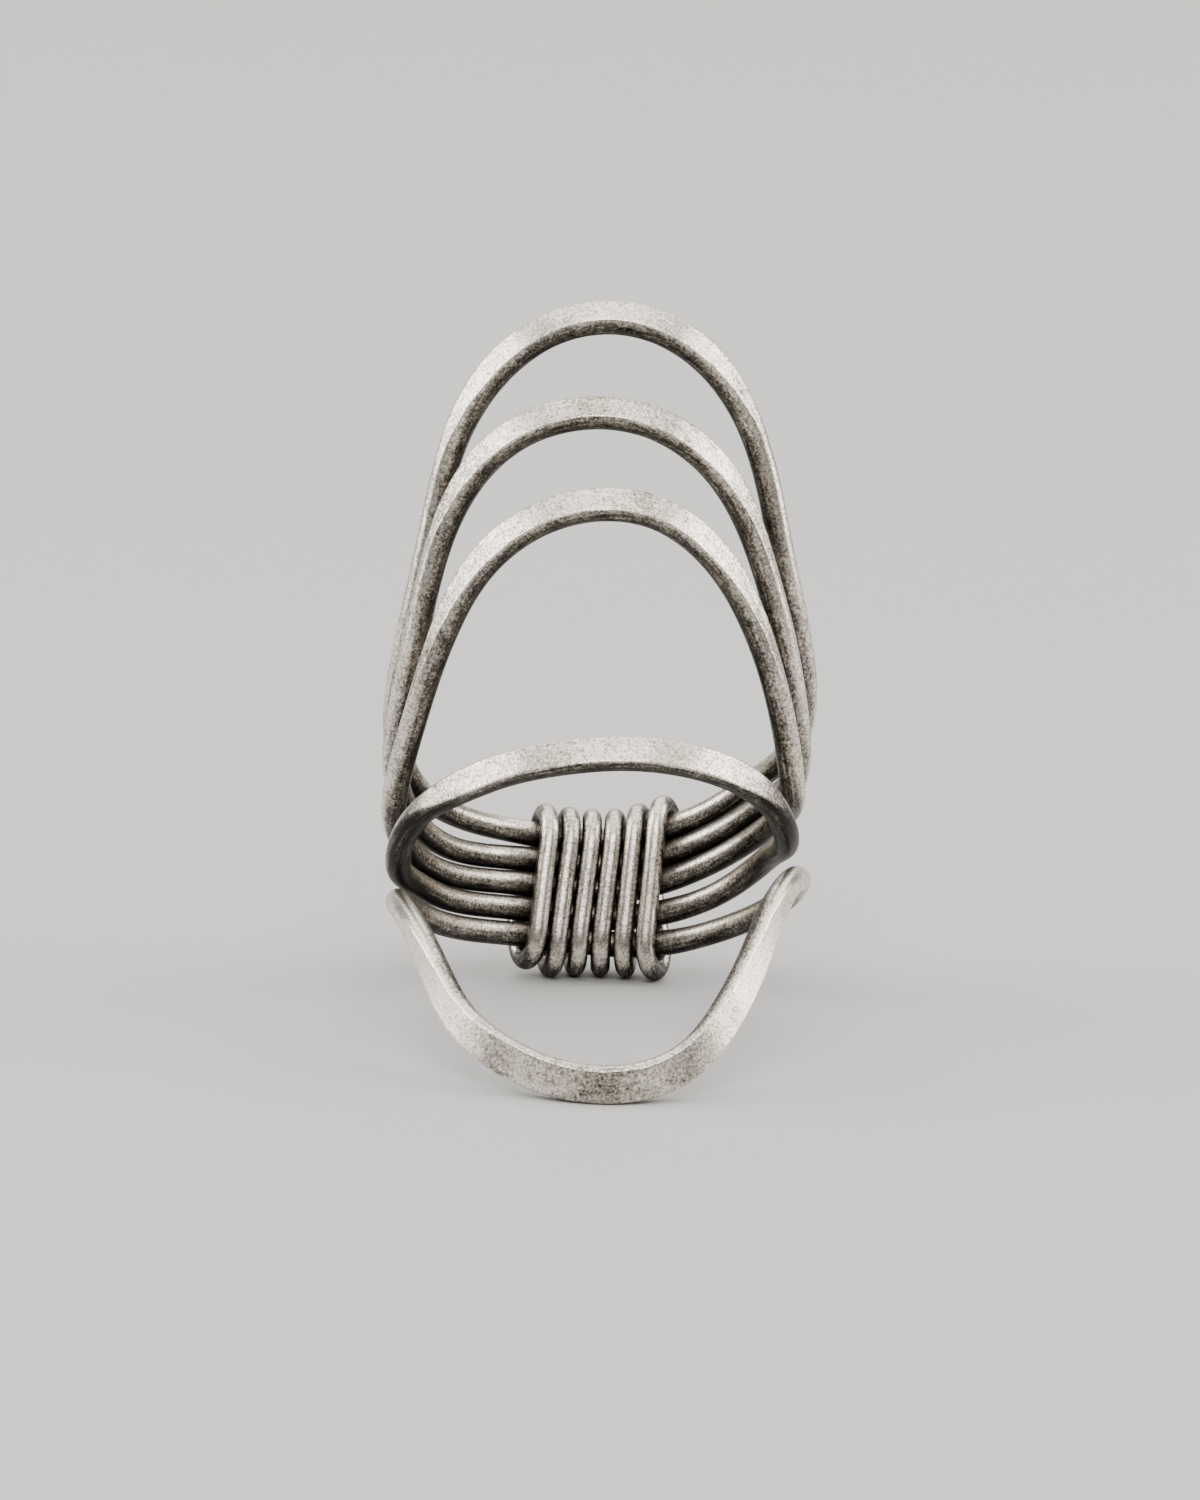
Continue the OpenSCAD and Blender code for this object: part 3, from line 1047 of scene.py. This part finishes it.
@dataclass
class Ring:
    """The whole ring: five hammered loops and the binding that holds them.

    Attributes:
        stance: How it stands.
        loop_step: Distance between two sections of a loop, in millimetres.
        binding_step: The same for the binding.
        finer: How many sections of a wire's fine drawing there are to one of its own.
        loop_silver: The loops' finish.
        binding_silver: The binding's finish.
        wires: The wires, once they are planned.
        move: The move from the finger's frame to the part's, once it is planned.
    """

    stance: Stance = Stance()
    loop_step: float = 0.6
    binding_step: float = 0.38
    finer: int = 4
    loop_silver: OxidisedSilver = OxidisedSilver("loop silver")
    binding_silver: OxidisedSilver = OxidisedSilver("binding silver", bright=(0.8, 0.735, 0.65))
    wires: list[WirePiece] = field(default_factory=list, init=False)
    move: Move | None = field(default=None, init=False)

    def plan(self) -> None:
        """Works out all wires in the part's frame."""
        kinds = [(plan, self.loop_step, "oxidised_silver", Bench()) for plan in LOOPS]
        kinds.append((BindingPlan(), self.binding_step, "binding_silver", Bench(sides=12)))
        drawings = [plan.drawing(step) for plan, step, _, _ in kinds]
        self.move = self.stance.move(drawings)
        for drawing, (plan, step, slot, bench) in zip(drawings, kinds):
            fine = plan.drawing(step / self.finer)
            self.wires.append(WirePiece(plan, drawing.moved(self.move), fine.moved(self.move), slot,
                                        bench))

    def build(self) -> None:
        """Builds and dresses each wire."""
        self.plan()
        silvers = {"oxidised_silver": self.loop_silver.material(),
                   "binding_silver": self.binding_silver.material()}
        for seed, wire in enumerate(self.wires):
            others = np.concatenate([
                np.column_stack([other.wire.centres, other.wire.half.mean(axis=1)])
                for other in self.wires if other is not wire])
            wire.build(others, self.move, seed)
            wire.dress(silvers[wire.slot])


@dataclass(frozen=True)
class Lamp:
    """A soft light.

    Attributes:
        name: Its name.
        place: Where it stands, in metres.
        size: Its width and height, in metres.
        power: Its power in watts.
        target: What it faces, which is the ring unless another place is given.
        colour: Its colour.
    """

    name: str
    place: tuple[float, float, float]
    size: Span
    power: float
    target: tuple[float, float, float] = (0, 0, 0.015)
    colour: Colour = (1, 0.975, 0.94)

    def set_up(self) -> None:
        """Adds the light to the scene."""
        lamp = bpy.data.lights.new(self.name, "AREA")
        lamp.shape = "RECTANGLE"
        lamp.size, lamp.size_y = self.size
        lamp.energy = self.power
        lamp.color = self.colour
        stand = bpy.data.objects.new(self.name, lamp)
        bpy.context.collection.objects.link(stand)
        way = Vector(self.target) - Vector(self.place)
        turn = way.to_track_quat("-Z", "Y").to_matrix().to_4x4()
        stand.matrix_world = Matrix.Translation(self.place) @ turn


@dataclass(frozen=True)
class Studio:
    """Pale floor and backdrop, soft lights and the camera.

    Attributes:
        distance: Distance of the camera from the middle of the view, in millimetres.
        below: Degrees by which it looks up along the finger's axis.
        aim: Rise of the middle of the view along the finger's axis, in millimetres.
        focal: Focal length in millimetres.
        film: Height of the film in millimetres.
        nearest: Distance before which the camera sees nothing, in metres.
        floor_middle: How far behind the ring the floor's middle is, in metres.
        floor_size: Width and depth of the floor, in metres.
        backdrop: Height of the backdrop, in metres.
        curve: Distance from the floor's back over which it curves up, in metres.
        curve_parts: Number of strips of that curve.
        paper: Colour of the floor.
        paper_rough: Its roughness.
        beyond: Light seen beyond the floor, which matches the lit floor.
        room: Light of the room that the ring reflects.
        lamps: The lights.
    """

    distance: float = 160
    below: float = 13
    aim: float = 5.35
    focal: float = 51.968
    film: float = 24
    nearest: float = 0.01
    floor_middle: float = 0.39
    floor_size: Span = (1.76, 2.02)
    backdrop: float = 1.6
    curve: float = 1.3
    curve_parts: int = 48
    paper: Colour = (0.47, 0.47, 0.464)
    paper_rough: float = 0.9
    beyond: Colour = (1.08, 1.08, 1.0656)
    room: Colour = (0.06, 0.06, 0.06)
    lamps: tuple[Lamp, ...] = (
        Lamp("top light", (0, 0.4, 1.0), (1.3, 1.9), 22, target=(0, 0.4, 0)),
        Lamp("front light", (0, -0.7, 0.66), (0.8, 0.4), 7),
        Lamp("left light", (-0.8, 0.0, 0.42), (0.6, 0.7), 8.2),
        Lamp("right light", (0.8, 0.0, 0.42), (0.6, 0.7), 8.2),
    )

    def lay_floor(self) -> None:
        """Makes the floor, which rises behind in a wide curve."""
        bpy.ops.object.select_all(action="DESELECT")
        bpy.ops.mesh.primitive_plane_add(size=1, location=(0, self.floor_middle, 0))
        sweep = bpy.context.object
        sweep.name = "floor"
        sweep.scale = (*self.floor_size, 1)
        bpy.ops.object.transform_apply(location=True, rotation=True, scale=True)
        bpy.ops.object.mode_set(mode="EDIT")
        self.pick_back_edge(sweep)
        bpy.ops.mesh.extrude_region_move(TRANSFORM_OT_translate={"value": (0, 0, self.backdrop)})
        self.pick_back_edge(sweep)
        bpy.ops.mesh.bevel(offset=self.curve, segments=self.curve_parts)
        bpy.ops.object.mode_set(mode="OBJECT")
        bpy.ops.object.shade_smooth()
        paint = bpy.data.materials.new("pale paper")
        paint.use_nodes = True
        feed(paint.node_tree.nodes["Principled BSDF"], {
            "Base Color": (*self.paper, 1), "Roughness": self.paper_rough})
        sweep.data.materials.append(paint)

    @staticmethod
    def pick_back_edge(sweep: bpy.types.Object, near: float = 1e-6) -> None:
        """Selects the edge at the floor's back.

        Args:
            sweep: The floor in edit mode.
            near: How close to the edge a vertex is taken to be on it, in metres.
        """
        mesh = bmesh.from_edit_mesh(sweep.data)
        back = max(vertex.co.y for vertex in mesh.verts)
        for vertex in mesh.verts:
            vertex.select = vertex.co.y > back - near and abs(vertex.co.z) < near
        mesh.select_flush(False)
        mesh.select_flush(True)
        bmesh.update_edit_mesh(sweep.data)

    def set_lights(self) -> None:
        """Sets the lights and the dim room round them."""
        for lamp in self.lamps:
            lamp.set_up()
        world = bpy.data.worlds.new("room")
        world.use_nodes = True
        nodes = world.node_tree.nodes
        room = feed(nodes["Background"], {"Color": (*self.room, 1), "Strength": 1.0})
        beyond = feed(nodes.new("ShaderNodeBackground"), {"Color": (*self.beyond, 1), "Strength": 1.0})
        seen = feed(nodes.new("ShaderNodeMixShader"), {
            "Fac": nodes.new("ShaderNodeLightPath").outputs["Is Camera Ray"],
            1: room.outputs["Background"], 2: beyond.outputs["Background"]})
        feed(nodes["World Output"], {"Surface": seen.outputs["Shader"]})
        bpy.context.scene.world = world

    def set_camera(self, move: Move) -> None:
        """Sets the camera at the photograph's angle to the ring.

        Args:
            move: The move from the finger's frame to the part's.
        """
        rise = math.radians(self.below)
        ahead = np.array([0, math.cos(rise), math.sin(rise)])
        up = np.array([0, -math.sin(rise), math.cos(rise)])
        place = move.place(np.array([0, 0, self.aim]) - ahead * self.distance) * MM
        axes = move.turn @ np.stack([np.cross(ahead, up), up, -ahead], axis=1)
        camera = bpy.data.cameras.new("camera")
        camera.sensor_fit = "VERTICAL"
        camera.sensor_height = self.film
        camera.lens = self.focal
        camera.clip_start = self.nearest
        stand = bpy.data.objects.new("camera", camera)
        bpy.context.collection.objects.link(stand)
        stand.matrix_world = Matrix.Translation(place) @ Matrix(axes).to_4x4()
        bpy.context.scene.camera = stand


def main() -> None:
    """Builds the ring and its studio."""
    logging.basicConfig(level=logging.INFO, format="%(name)s: %(message)s")
    ring = Ring()
    ring.build()
    studio = Studio()
    studio.lay_floor()
    studio.set_lights()
    studio.set_camera(ring.move)


if __name__ == "__main__":
    main()
